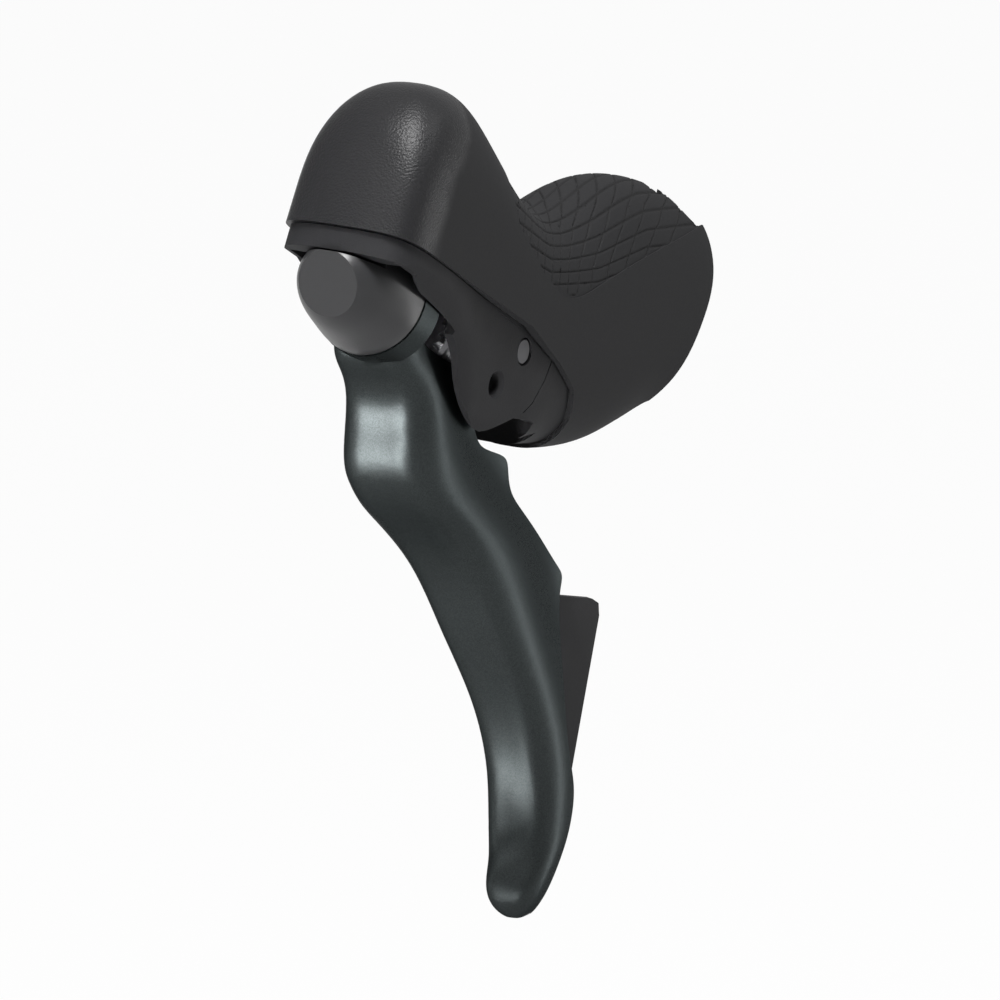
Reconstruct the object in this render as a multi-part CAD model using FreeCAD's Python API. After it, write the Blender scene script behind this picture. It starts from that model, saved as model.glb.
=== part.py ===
import FreeCAD, Part
import math
import os
from FreeCAD import Vector

# Left-hand hydraulic brake and shift lever for a drop handlebar. Sizes are in mm.
# It is drawn with the hood level and the bar upright, then tipped nose-up about the bar.
# Forward and up are counted from the brake pivot; x is outward, away from the bicycle.

# Handlebar and brake pivot.
HOOD_PITCH = 32.0
BAR_DIAMETER = 24.0
PIVOT_FORWARD = 64.0
PIVOT_BELOW = 30.0
PIN_DIAMETER = 6.0
PIN_LENGTH = 26.0
SHIFT_AXIS_BELOW = 4.3
KEY_FORWARD = 7.2
KEY_BELOW = 9.6
KEY_RADIUS = 2.4
KEY_MOUTH = 3.3

# Clearances.
RUN_FIT = 0.05
PRESS_FIT = 0.01
FREE_GAP = 0.3
RUBBER_GAP = 0.12

# Hood and bracket shell.
RUBBER = 2.4
BAR_WALL = 4.6
HOOD_BEHIND_BAR = 7.0
BAR_RELIEF = 0.4
EAR_INSET = 2.3
LIP_INSET = 0.8
SEAM_GAP = 0.25
NOSE_FROM = 55.0
SADDLE_LENGTH = 30.0
SADDLE_REACH = 6.0

# Room for the lever in the bracket.
EAR_ROOM = 10.5
MOUTH_ROOM = 12.9
MOUTH_FROM = 30.0
MOUTH_FRONT = 58.3
MOUTH_CEILING = 3.6
CEILING = 9.0
LIP_EDGE = -0.6

# Clamp band, its cross nut and bolt.
BAND_THICK = 1.0
BAND_HEIGHT = 9.0
NUT_AHEAD = 4.0
NUT_RADIUS = 2.6
BOLT_RADIUS = 2.5
BOLT_HEAD_RADIUS = 4.2
BOLT_HEAD_HEIGHT = 5.0
BOLT_LENGTH = 22.0

# Master cylinder.
CYLINDER_ABOVE = 19.0
CYLINDER_RADIUS = 5.2
CYLINDER_FROM = 13.0
CYLINDER_TO = 44.0
PISTON_FROM = 17.0
PISTON_LENGTH = 12.0
SEAL_WIDTH = 2.0
SEAL_DEPTH = 1.3
ROD_RADIUS = 2.0
FINGER_FRONT = 8.0
CLIP_THICK = 1.0
FINGER_ROOM = 0.8

# Reservoir in the head.
POCKET_HALF = 7.0
POCKET_FROM = 25.0
POCKET_TO = 44.0
POCKET_FLOOR = 25.6
LID_THICK = 1.6
LID_TOP = 29.4
DIAPHRAGM_THICK = 1.0
LID_SCREW_RADIUS = 1.1
LID_SCREW_HEAD = 1.9
LID_SCREW_INSET = 2.4
LID_PLAY = 0.15

# Bleed port, hose port and cable port.
BLEED_FORWARD = 48.8
BLEED_RADIUS = 2.5
BLEED_SEAT = 25.8
HOSE_SIDE = -5.0
HOSE_AHEAD = 5.0
HOSE_NUT_RADIUS = 4.0
HOSE_NUT_LENGTH = 9.0
HOSE_HOLE_RADIUS = 2.6
HOSE_SEAT = 34.0
CABLE_SIDE = 5.0
CABLE_AHEAD = 1.5
CABLE_RADIUS = 2.15
CABLE_SEAT = 36.0
CABLE_DEPTH = 8.0

# Lever carrier and its pivot.
CARRIER_HALF = 9.9
BARREL_RADIUS = 6.0
BUSH_RADIUS = 4.2
BUSH_FLANGE = 5.4
BUSH_FLANGE_THICK = 0.45
SPRING_BAY = 4.2
COIL_WIRE = 1.1
FINGER_HALF = 3.4
REACH_SCREW_RADIUS = 2.0
REACH_SCREW_FORWARD = 22.0

# Parts on the shift axle, by their distance ahead of the pivot.
AXLE_RADIUS = 3.0
AXLE_FROM = 6.0
AXLE_TO = 49.0
DRUM_FROM = 18.0
DRUM_LENGTH = 6.5
DRUM_RADIUS = 8.4
CABLE_GROOVE = 1.2
RATCHET_THICK = 2.0
RATCHET_TEETH = 20
PAWL_SIDE = 7.4
PAWL_UP = 3.0
PAWL_PIN_RADIUS = 1.2
PAWL_PIN_FROM = 8.4
TOOTH_DEPTH = 1.0
DRIVE_FROM = 31.7
DRIVE_THICK = 2.0
DRIVE_RADIUS = 7.4
DRIVE_PIN_RADIUS = 1.2
DRIVE_PIN_OUT = 5.9
SLEEVE_RADIUS = 5.0
PADDLE_PLATE_FROM = 35.1
PADDLE_PLATE_THICK = 1.7
PADDLE_PLATE_RADIUS = 7.6
HUB_FROM = 37.2
HUB_LENGTH = 6.4
HUB_RADIUS = 12.4
CAP_FROM = 44.0
CAP_RADIUS = 12.2
FACET_RADIUS = 6.8
FACET_FORWARD = 62.0
FACET_DROP = 7.2
FACET_TILT = 26.6

# Brake blade and release paddle.
BLADE_WALL = 2.1
BLADE_CAVITY_END = -113.0
BLADE_TIP = -127.6
ARM_THICK = 3.0
ARM_SIDE = -0.1
PAD_THICK = 1.8

# Hood stations from the rear rim to the nose: forward, half width, top, bottom, height of the
# widest line, roundness above it, roundness below it, inset of the bare bracket.
STATIONS = [
    (-PIVOT_FORWARD - HOOD_BEHIND_BAR, BAR_DIAMETER / 2 + BAR_WALL, 57.5, 3.0, 30.0, 2.3, 2.6, 0.9),
    (-PIVOT_FORWARD + 10.0, BAR_DIAMETER / 2 + BAR_WALL - 0.1, 55.0, -2.5, 28.0, 2.3, 2.6, 0.9),
    (-38.0, BAR_DIAMETER / 2 + BAR_WALL - 0.3, 51.4, -11.0, 22.0, 2.3, 2.8, 0.9),
    (-20.0, 15.8, 41.5, -17.0, 14.0, 2.3, 3.2, 1.2),
    (0.0, 15.4, 31.0, -22.5, 9.0, 2.4, 7.0, EAR_INSET),
    (20.0, 15.4, 34.4, -23.0, 9.0, 2.6, 8.0, EAR_INSET),
    (38.0, 15.5, 40.4, -21.0, 10.0, 2.5, 7.0, 0.9),
    (50.0, 15.7, 39.8, -20.0, 10.0, 2.6, 6.0, LIP_INSET),
    (57.5, 15.2, 35.8, -20.0, 10.0, 2.6, 6.0, LIP_INSET),
    (61.6, 13.3, 30.2, -20.0, 10.0, 2.6, 5.0, LIP_INSET),
    (63.6, 9.8, 25.0, -20.0, 9.5, 2.5, 4.0, LIP_INSET),
    (64.5, 5.6, 18.6, -16.0, 8.0, 2.4, 3.0, LIP_INSET),
]
SECTION_POINTS = 20

# Rear rim of the hood, from the top of the bar opening to the belly: forward, up.
RIM = [
    (-48.0, 64.0), (-57.5, 56.5), (-65.5, 50.0), (-69.5, 42.0),
    (-69.0, 29.0), (-65.5, 15.0), (-60.5, 5.0), (-52.0, -6.0),
]

# Edge of the hood on the bracket, from the nose back under the belly: forward, up.
SEAM = [(80.0, 4.0), (37.0, 4.2), (3.0, 4.5), (-12.0, 1.5), (-22.0, -1.6), (-27.0, -7.0), (-34.0, -30.0)]

# Lower and front edge of the sunken grip field on the saddle: forward, up.
GRIP_EDGE = [
    (-72.0, 54.6), (-62.5, 48.9), (-39.1, 34.8), (-20.4, 21.6), (-11.1, 15.8), (-4.4, 14.9),
    (3.4, 16.1), (12.1, 19.7), (18.0, 22.0), (20.3, 25.5), (24.0, 33.0), (25.0, 60.0),
]
GRIP_DEPTH = 0.3

# Slanted border of the lip and the ear: its lower edge, deep in the wall, and its upper edge, just
# outside the wall, as forward and up.
BORDER_LOW = [
    (70.0, -5.0), (52.0, -5.4), (36.0, -7.2), (28.6, -9.2), (21.6, -13.8), (14.0, -19.4), (2.0, -22.0),
]
BORDER_HIGH = [
    (70.0, 2.8), (52.0, 1.9), (36.0, 1.3), (25.0, -1.0), (15.4, -8.0), (9.6, -13.4), (0.0, -18.0),
]
BORDER_FROM = 11.4
BORDER_TO = 15.4

# Parting line behind each ear: forward, up.
PARTING = [(-11.6, 2.6), (-10.9, -2.9), (-9.1, -8.6), (-6.9, -11.4)]
PARTING_WIDTH = 0.3
PARTING_DEPTH = 0.5

# Lower edge of the lip and the ear, down to the ear's tip: forward, up.
EAR_EDGE = [
    (53.0, LIP_EDGE), (46.0, -3.3), (37.0, -4.4), (30.5, -5.8), (25.2, -8.9), (21.8, -12.7), (17.3, -16.4),
    (12.0, -18.8), (6.0, -19.8),
]

# Slot under each ear: forward, up.
BELLY_SLOT = [
    (6.5, -20.4), (3.4, -18.6), (-3.6, -13.6), (-10.1, -12.0),
    (-13.2, -11.8), (-13.6, -14.4), (-11.2, -16.9), (-2.0, -19.6),
]

# Blade stations, upright from the pivot: up, side, half width, front, outer depth, inner depth.
BLADE = [
    (20.0, 0.0, 7.4, -47.0, 22.0, 9.0),
    (9.0, 0.0, 7.5, -43.4, 22.0, 8.5),
    (3.0, 0.0, 7.9, -40.0, 22.0, 8.0),
    (-3.0, 0.0, 8.6, -37.2, 22.0, 7.0),
    (-13.0, 0.0, 9.2, -37.2, 28.0, 8.5),
    (-20.0, 0.0, 9.2, -36.4, 36.0, 10.0),
    (-26.0, 0.1, 9.1, -32.6, 38.0, 7.6),
    (-33.0, 0.3, 9.0, -25.6, 38.0, 5.4),
    (-45.5, 1.2, 8.5, -14.3, 38.0, 4.6),
    (-61.5, 3.0, 8.0, -6.0, 33.0, 5.6),
    (-79.0, 5.5, 7.5, 1.5, 27.0, 5.4),
    (-98.0, 8.0, 7.2, 4.4, 24.0, 5.4),
    (-110.0, 9.2, 6.9, 2.4, 22.0, 7.0),
    (-119.0, 10.2, 5.9, -2.0, 15.0, 10.0),
    (-125.0, 10.6, 4.2, -2.4, 9.0, 7.0),
    (BLADE_TIP, 10.8, 2.2, -0.6, 4.0, 3.2),
]
BLADE_SLANT = 0.32

# Guide points of the blade's rear edge, from the eye down to the tip: rearward, up.
FLANGE_EDGE = [
    (-24.0, 12.0), (-17.0, -3.0), (-12.5, -16.0), (-9.0, -19.5), (-1.5, -22.6), (1.6, -24.6), (2.4, -28.0),
    (3.0, -33.0), (8.0, -38.0), (15.0, -45.5), (21.6, -54.0), (23.4, -56.4), (22.6, -58.6), (20.6, -62.0),
    (18.0, -79.0), (16.2, -91.0), (17.4, -98.5), (18.6, -104.5), (14.0, -114.0), (8.0, -121.0), (2.0, -128.0),
]

# Paddle: the arm's path and the pad's outline, upright from the pivot: rearward, up.
ARM = [
    (-35.2, 10.0), (-31.5, 3.0), (-26.5, -9.0), (-21.0, -20.0), (-13.0, -33.0), (0.0, -47.0), (13.0, -61.0),
]
ARM_WIDTH = 5.6
PAD = [(8.0, -56.6), (27.8, -62.8), (36.6, -65.5), (38.6, -67.0), (38.8, -70.0), (30.4, -103.5), (18.0, -98.0)]
PAD_BOSS = [(8.0, -56.6), (15.0, -58.8), (16.0, -66.0), (9.5, -60.8)]
PAD_FLARE = 15.0
PAD_ROOT = 8.0
RIVETS = [(10.8, -58.8), (13.6, -61.6)]
RIVET_RADIUS = 1.0
RIVET_HEAD_RADIUS = 1.7
RIVET_HEAD = 0.6

SIDE = Vector(1, 0, 0)
AHEAD = Vector(0, -1, 0)
UP = Vector(0, 0, 1)


def at(side, forward, up):
    return Vector(side, -(PIVOT_FORWARD + forward), up - PIVOT_BELOW)


def rod(radius, side, forward, up, direction, length):
    return Part.makeCylinder(radius, length, at(side, forward, up), direction)


def tube(outer, inner, side, forward, up, direction, length):
    bore = rod(inner, side, forward, up, direction, length)
    return rod(outer, side, forward, up, direction, length).cut(bore)


def on_axle(radius, forward, length):
    return rod(radius, 0, forward, -SHIFT_AXIS_BELOW, AHEAD, length)


def ring_on_axle(outer, inner, forward, length):
    return on_axle(outer, forward, length).cut(on_axle(inner, forward, length))


def block(side_from, side_to, forward_from, forward_to, up_from, up_to):
    size = (side_to - side_from, forward_to - forward_from, up_to - up_from)
    return Part.makeBox(*size, at(side_from, forward_to, up_from))


def side_plate(outline, side_from, side_to):
    points = [at(side_from, forward, up) for forward, up in outline]
    face = Part.Face(Part.makePolygon(points + points[:1]))
    return face.extrude(SIDE * (side_to - side_from))


def smooth_edge(points):
    curve = Part.BSplineCurve()
    curve.interpolate(points)
    return curve.toShape()


def closed_curve(points):
    curve = Part.BSplineCurve()
    curve.interpolate(points, PeriodicFlag=True)
    return Part.Wire([curve.toShape()])


# A plate across the whole part, with one smooth edge and straight corners.
def curved_plate(curve, corners):
    edge = smooth_edge([at(-40, forward, up) for forward, up in curve])
    lines = Part.makePolygon([at(-40, forward, up) for forward, up in corners])
    return Part.Face(Part.Wire([edge] + lines.Edges)).extrude(SIDE * 80)


def coil(radius, wire, pitch, height, side, forward, up, direction):
    helix = Part.makeHelix(pitch, height, radius)
    circle = Part.Wire([Part.makeCircle(wire / 2, Vector(radius, 0, 0), Vector(0, 1, 0))])
    spring = Part.Wire(helix.Edges).makePipeShell([circle], True, True)
    turn = FreeCAD.Rotation(Vector(0, 0, 1), direction)
    spring.Placement = FreeCAD.Placement(at(side, forward, up), turn)
    return spring


def hex_prism(across, side, forward, up, direction, length):
    points = []
    for k in range(7):
        angle = math.radians(60 * k)
        points.append(Vector(math.cos(angle), math.sin(angle), 0) * (across / math.sqrt(3)))
    prism = Part.Face(Part.makePolygon(points)).extrude(Vector(0, 0, length))
    prism.Placement = FreeCAD.Placement(at(side, forward, up), FreeCAD.Rotation(Vector(0, 0, 1), direction))
    return prism


# One hood section: a rounded oval, with its own roundness above and below its widest line.
def section(station, inset):
    forward, half_width, top, bottom, middle, top_power, bottom_power = station[:7]
    if forward > NOSE_FROM:
        forward -= inset
    points = []
    for k in range(SECTION_POINTS):
        angle = 2 * math.pi * k / SECTION_POINTS
        if math.sin(angle) >= 0:
            height = top - inset - middle
            power = 2 / top_power
        else:
            height = bottom + inset - middle
            power = 2 / bottom_power
        across = math.copysign(abs(math.cos(angle)) ** power, math.cos(angle)) * (half_width - inset)
        points.append(at(across, forward, middle + height * abs(math.sin(angle)) ** power))
    return closed_curve(points)


def shell(inset):
    return Part.makeLoft([section(station, inset) for station in STATIONS], True)


def bare_bracket():
    return Part.makeLoft([section(station, station[7]) for station in STATIONS], True)


# Everything above the seam, and everything below it.
def seam_side(outline, level, gap):
    lifted = [(forward, up + gap) for forward, up in outline]
    corners = [(-120.0, lifted[-1][1]), (-120.0, level), (80.0, level)]
    return side_plate(lifted + corners, -40, 40)


above_seam = seam_side(SEAM, 120.0, SEAM_GAP)
below_seam = seam_side(SEAM, -60.0, 0.0)
bar_up = PIVOT_BELOW
bar_hole = rod(BAR_DIAMETER / 2 + BAR_RELIEF, 0, -PIVOT_FORWARD, -60, UP, 180)
hose_axis_forward = BAR_DIAMETER / 2 + HOSE_AHEAD - PIVOT_FORWARD
cable_axis_forward = BAR_DIAMETER / 2 + CABLE_AHEAD - PIVOT_FORWARD

# Hood: a rubber skin over the bracket, open at the back and over the bar, hose and cable.
hood = shell(0).cut(shell(RUBBER)).common(above_seam).cut(bar_hole)
hood = hood.cut(rod(HOSE_HOLE_RADIUS + FREE_GAP, HOSE_SIDE, hose_axis_forward, HOSE_SEAT, UP, 60))
hood = hood.cut(rod(CABLE_RADIUS + FREE_GAP, CABLE_SIDE, cable_axis_forward, CABLE_SEAT, UP, 60))
rim_corners = [RIM[-1], (RIM[-1][0], -60.0), (-140.0, -60.0), (-140.0, 120.0), (RIM[0][0], 120.0), RIM[0]]
hood = hood.cut(curved_plate(RIM, rim_corners))
grip_corners = [GRIP_EDGE[-1], (GRIP_EDGE[0][0], 90.0), GRIP_EDGE[0]]
hood = hood.cut(curved_plate(GRIP_EDGE, grip_corners).cut(shell(GRIP_DEPTH)))

# Bracket: the core under the hood, the bare lip and ears below it, and every room inside.
core = shell(RUBBER + RUBBER_GAP).common(seam_side(SEAM, 120.0, -0.5))
bracket = core.fuse(bare_bracket().common(below_seam))
behind = block(-40, 40, -PIVOT_FORWARD - 60, -PIVOT_FORWARD + SADDLE_REACH, -60, 120)
bracket = bracket.cut(behind)
ear_corners = [EAR_EDGE[-1], (EAR_EDGE[-1][0], -60.0), (90.0, -60.0), (90.0, LIP_EDGE), EAR_EDGE[0]]
bracket = bracket.cut(curved_plate(EAR_EDGE, ear_corners))
bracket = bracket.cut(side_plate(BELLY_SLOT, -40, 40))
for side in (-1, 1):
    outlines = []
    for half, edge in ((BORDER_FROM, BORDER_LOW), (BORDER_TO, BORDER_HIGH)):
        curve = smooth_edge([at(side * half, forward, up) for forward, up in edge])
        corners = [edge[-1], (edge[-1][0], -60.0), (edge[0][0], -60.0), edge[0]]
        lines = Part.makePolygon([at(side * half, forward, up) for forward, up in corners])
        outlines.append(Part.Wire([curve] + lines.Edges))
    bracket = bracket.cut(Part.makeLoft(outlines, True, True))
room_front = MOUTH_FROM + 1
lever_room = [(-21.0, -40.0), (-19.0, -9.0), (-10.0, CEILING), (room_front, CEILING), (room_front, -40.0)]
bracket = bracket.cut(side_plate(lever_room, -EAR_ROOM, EAR_ROOM))
for half, ceiling in ((MOUTH_ROOM, MOUTH_CEILING), (EAR_ROOM, CEILING)):
    bracket = bracket.cut(block(-half, half, MOUTH_FROM, MOUTH_FRONT, -40, ceiling))
saddle = rod(BAR_DIAMETER / 2, 0, -PIVOT_FORWARD, bar_up - SADDLE_LENGTH / 2, UP, SADDLE_LENGTH)
bracket = bracket.cut(saddle)
for start, length in ((-60, 60 + bar_up - SADDLE_LENGTH / 2), (bar_up + SADDLE_LENGTH / 2, 60)):
    bracket = bracket.cut(rod(BAR_DIAMETER / 2 + BAR_RELIEF, 0, -PIVOT_FORWARD, start, UP, length))

# Parting line and pivot hole of the ears, and the key hole beside the outer one.
parting_strip = PARTING + [(forward + PARTING_WIDTH, up) for forward, up in reversed(PARTING)]
for side in (-1, 1):
    low, high = sorted((side * (PIN_LENGTH / 2 - PARTING_DEPTH + 0.4), side * 30))
    bracket = bracket.cut(side_plate(parting_strip, low, high))
pin_start = -PIN_LENGTH / 2
bracket = bracket.cut(rod(PIN_DIAMETER / 2 + PRESS_FIT, -30, 0, 0, SIDE, 60))
bracket = bracket.cut(rod(KEY_RADIUS, EAR_ROOM - 1, KEY_FORWARD, -KEY_BELOW, SIDE, 10))
key_mouth = at(PIN_LENGTH / 2 - 0.9, KEY_FORWARD, -KEY_BELOW)
bracket = bracket.cut(Part.makeCone(KEY_RADIUS, KEY_MOUTH, 0.9, key_mouth, SIDE))

# Room for the carrier's finger, the master cylinder, the reservoir and the bleed port.
finger_room = FINGER_HALF + FINGER_ROOM
bracket = bracket.cut(block(-finger_room, finger_room, 0.5, CYLINDER_FROM + 3, CEILING - 1, 24.2))
cylinder_length = CYLINDER_TO - CYLINDER_FROM
bracket = bracket.cut(rod(CYLINDER_RADIUS, 0, CYLINDER_FROM, CYLINDER_ABOVE, AHEAD, cylinder_length))
bracket = bracket.cut(block(-POCKET_HALF, POCKET_HALF, POCKET_FROM, POCKET_TO, POCKET_FLOOR, 60))
bracket = bracket.cut(rod(0.8, 0, POCKET_FROM + 9, CYLINDER_ABOVE, UP, 10))
bracket = bracket.cut(rod(BLEED_RADIUS, 0, BLEED_FORWARD, BLEED_SEAT, UP, 30))
bracket = bracket.cut(rod(BLEED_RADIUS + 1.9, 0, BLEED_FORWARD, BLEED_SEAT + 5.0, UP, 30))
bleed_rise = BLEED_SEAT - CYLINDER_ABOVE + 1
bracket = bracket.cut(rod(0.9, 0, BLEED_FORWARD, CYLINDER_ABOVE, UP, bleed_rise))
bracket = bracket.cut(rod(0.9, 0, CYLINDER_TO - 1, CYLINDER_ABOVE, AHEAD, BLEED_FORWARD - CYLINDER_TO + 1))

# Seats of the hose nut and the cable end, and room for the clamp band, cross nut and bolt.
bracket = bracket.cut(rod(HOSE_NUT_RADIUS + FREE_GAP, HOSE_SIDE, hose_axis_forward, HOSE_SEAT, UP, 40))
bracket = bracket.cut(rod(CABLE_RADIUS, CABLE_SIDE, cable_axis_forward, CABLE_SEAT, UP, CABLE_DEPTH))
cable_mouth = CABLE_SEAT + CABLE_DEPTH
bracket = bracket.cut(rod(CABLE_RADIUS + 0.5, CABLE_SIDE, cable_axis_forward, cable_mouth, UP, 40))
cable_start = at(CABLE_SIDE, cable_axis_forward, CABLE_SEAT + 1)
cable_run = at(EAR_ROOM - 2, 6, CEILING - 2) - cable_start
bracket = bracket.cut(Part.makeCylinder(1.0, cable_run.Length, cable_start, cable_run))
nut_axis_forward = BAR_DIAMETER / 2 + NUT_AHEAD - PIVOT_FORWARD
band_inner = BAR_DIAMETER / 2 + PRESS_FIT
band_room = band_inner - FREE_GAP
for side in (-1, 1):
    low, high = sorted((side * band_room, side * 30))
    half = BAND_HEIGHT / 2 + FREE_GAP
    slot = block(low, high, -PIVOT_FORWARD - 1, nut_axis_forward + 5.2, bar_up - half, bar_up + half)
    bracket = bracket.cut(slot)
nut_half = NUT_RADIUS + FREE_GAP
nut_from = nut_axis_forward - 3.4
nut_to = nut_axis_forward + 4.4
bracket = bracket.cut(block(-30, 30, nut_from, nut_to, bar_up - nut_half, bar_up + nut_half))
bolt_seat = nut_axis_forward + BOLT_LENGTH - 3.0
bracket = bracket.cut(rod(BOLT_RADIUS + 0.2, 0, nut_axis_forward, bar_up, AHEAD, BOLT_LENGTH + 4))
bracket = bracket.cut(rod(BOLT_HEAD_RADIUS + 0.4, 0, bolt_seat, bar_up, AHEAD, 34))
bracket = bracket.cut(rod(BOLT_RADIUS + 0.2, 0, nut_axis_forward - 7, bar_up, AHEAD, 8))

# Clamp band: a strap round the back of the bar with two legs that hook over the cross nut.
band_low = bar_up - BAND_HEIGHT / 2
strap = tube(band_inner + BAND_THICK, band_inner, 0, -PIVOT_FORWARD, band_low, UP, BAND_HEIGHT)
strap = strap.cut(block(-40, 40, -PIVOT_FORWARD, 40, -60, 120))
band_parts = [strap]
for side in (-1, 1):
    low, high = sorted((side * band_inner, side * (band_inner + BAND_THICK)))
    leg = block(low, high, -PIVOT_FORWARD, nut_axis_forward, band_low, band_low + BAND_HEIGHT)
    eye = rod(BAND_HEIGHT / 2, low, nut_axis_forward, bar_up, SIDE, BAND_THICK)
    band_parts.append(leg.fuse(eye).cut(rod(NUT_RADIUS + RUN_FIT, low - 1, nut_axis_forward, bar_up, SIDE, 4)))
clamp_band = band_parts[0].fuse(band_parts[1:]).removeSplitter()
nut_length = 2 * (band_inner + BAND_THICK) - 0.2
clamp_nut = rod(NUT_RADIUS, -nut_length / 2, nut_axis_forward, bar_up, SIDE, nut_length)
clamp_nut = clamp_nut.cut(rod(BOLT_RADIUS, 0, nut_axis_forward - 5, bar_up, AHEAD, 10))
clamp_bolt = rod(BOLT_RADIUS - PRESS_FIT, 0, nut_axis_forward - 3.0, bar_up, AHEAD, BOLT_LENGTH + 0.1)
bolt_head = rod(BOLT_HEAD_RADIUS, 0, bolt_seat + 0.05, bar_up, AHEAD, BOLT_HEAD_HEIGHT)
bolt_socket = hex_prism(4.0, 0, bolt_seat + 2.4, bar_up, AHEAD, 5)
clamp_bolt = clamp_bolt.fuse(bolt_head).cut(bolt_socket).removeSplitter()

# Pivot pin, chamfered at both ends, and the carrier's two flanged bushes.
pivot_pin = rod(PIN_DIAMETER / 2, pin_start, 0, 0, SIDE, PIN_LENGTH)
pivot_pin = pivot_pin.makeChamfer(0.5, [pivot_pin.Edges[0], pivot_pin.Edges[2]])
bush_parts = []
for side in (-1, 1):
    start = CARRIER_HALF if side > 0 else -CARRIER_HALF - BUSH_FLANGE_THICK
    body = SPRING_BAY if side > 0 else -CARRIER_HALF
    bush = rod(BUSH_RADIUS, body, 0, 0, SIDE, CARRIER_HALF - SPRING_BAY)
    bush = bush.fuse(rod(BUSH_FLANGE, start, 0, 0, SIDE, BUSH_FLANGE_THICK))
    bush_parts.append(bush.cut(rod(PIN_DIAMETER / 2 + RUN_FIT, -30, 0, 0, SIDE, 60)).removeSplitter())
pivot_bushes = Part.makeCompound(bush_parts)

# Carrier: two lugs on the pin, a block behind the shift unit, a bridge over it and the push finger.
carrier_side = [
    (2.0, -6.0), (9.0, -9.6), (12.5, -9.6), (12.5, 5.4),
    (27.0, 5.4), (27.0, 7.4), (10.0, 7.4), (4.0, 6.5), (0.0, 6.0),
]
carrier = side_plate(carrier_side, -CARRIER_HALF, CARRIER_HALF)
carrier = carrier.fuse(rod(BARREL_RADIUS, -CARRIER_HALF, 0, 0, SIDE, 2 * CARRIER_HALF))
finger_side = [(3.4, 5.0), (FINGER_FRONT, 5.0), (FINGER_FRONT, 22.6), (6.4, 23.4), (4.6, 22.6)]
carrier = carrier.fuse(side_plate(finger_side, -FINGER_HALF, FINGER_HALF))
carrier = carrier.cut(rod(BARREL_RADIUS + 0.6, -SPRING_BAY, 0, 0, SIDE, 2 * SPRING_BAY))
carrier = carrier.cut(rod(BUSH_RADIUS + PRESS_FIT, -30, 0, 0, SIDE, 60))
carrier = carrier.cut(on_axle(AXLE_RADIUS + PRESS_FIT, AXLE_FROM, 20))
carrier = carrier.cut(rod(REACH_SCREW_RADIUS + PRESS_FIT, 0, REACH_SCREW_FORWARD, 0, UP, 20))
carrier = carrier.fuse(block(4.9, CARRIER_HALF, 12.5, 17.0, 0.9, 5.4))
carrier = carrier.cut(rod(PAWL_PIN_RADIUS + PRESS_FIT, PAWL_SIDE, 8.0, PAWL_UP, AHEAD, 30)).removeSplitter()
reach_screw = rod(REACH_SCREW_RADIUS, 0, REACH_SCREW_FORWARD, 5.2, UP, CEILING - FREE_GAP - 5.2)
reach_screw = reach_screw.cut(hex_prism(2.0, 0, REACH_SCREW_FORWARD, 5.0, UP, 1.8))
lever_spring = coil(4.5, COIL_WIRE, 1.5, 6.6, -3.3, 0, 0, SIDE)

# Shift axle with the drum, ratchet, pawl and the springs that return them.
shift_axle = on_axle(AXLE_RADIUS, AXLE_FROM, AXLE_TO - AXLE_FROM)
axle_hole = AXLE_RADIUS + RUN_FIT
cable_drum = ring_on_axle(DRUM_RADIUS, axle_hole, DRUM_FROM, DRUM_LENGTH)
groove = Part.makeTorus(DRUM_RADIUS, CABLE_GROOVE, at(0, DRUM_FROM + DRUM_LENGTH / 2, -SHIFT_AXIS_BELOW), AHEAD)
cable_drum = cable_drum.cut(groove)
ratchet_from = DRUM_FROM + DRUM_LENGTH
ratchet_points = []
for k in range(RATCHET_TEETH):
    step = 2 * math.pi / RATCHET_TEETH
    for share, radius in ((0.0, DRUM_RADIUS), (0.35, DRUM_RADIUS), (0.45, DRUM_RADIUS - TOOTH_DEPTH)):
        angle = step * (k + share)
        tooth_up = radius * math.sin(angle) - SHIFT_AXIS_BELOW
        ratchet_points.append(at(radius * math.cos(angle), ratchet_from, tooth_up))
ratchet_wheel = Part.Face(Part.makePolygon(ratchet_points + ratchet_points[:1])).extrude(AHEAD * RATCHET_THICK)
ratchet_wheel = ratchet_wheel.cut(on_axle(axle_hole, ratchet_from - 1, RATCHET_THICK + 2))
pin_angle = math.radians(-60)
pin_side = DRIVE_PIN_OUT * math.cos(pin_angle)
pin_up = DRIVE_PIN_OUT * math.sin(pin_angle) - SHIFT_AXIS_BELOW
drive_pin_length = DRIVE_FROM + DRIVE_THICK - ratchet_from - 0.2
pin_hole = rod(DRIVE_PIN_RADIUS + PRESS_FIT, pin_side, ratchet_from - 1, pin_up, AHEAD, 9)
ratchet_wheel = ratchet_wheel.cut(pin_hole)
drive_pin = rod(DRIVE_PIN_RADIUS, pin_side, ratchet_from, pin_up, AHEAD, drive_pin_length)
drum_spring = coil(5.2, 0.9, 1.2, 3.6, 0, 13.4, -SHIFT_AXIS_BELOW, AHEAD)
pawl_outline = [(PAWL_SIDE - 2.2, PAWL_UP + 1.4), (PAWL_SIDE - 2.6, PAWL_UP - 1.0), (PAWL_SIDE, PAWL_UP - 2.0)]
pawl_outline += [(PAWL_SIDE + 1.9, PAWL_UP - 0.6), (PAWL_SIDE + 1.7, PAWL_UP + 1.2), (PAWL_SIDE, PAWL_UP + 1.9)]
pawl_points = [at(side, ratchet_from + 0.2, up) for side, up in pawl_outline]
holding_pawl = Part.Face(Part.makePolygon(pawl_points + pawl_points[:1])).extrude(AHEAD * (RATCHET_THICK - 0.4))
holding_pawl = holding_pawl.cut(rod(PAWL_PIN_RADIUS + RUN_FIT, PAWL_SIDE, 8, PAWL_UP, AHEAD, 30))
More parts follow.
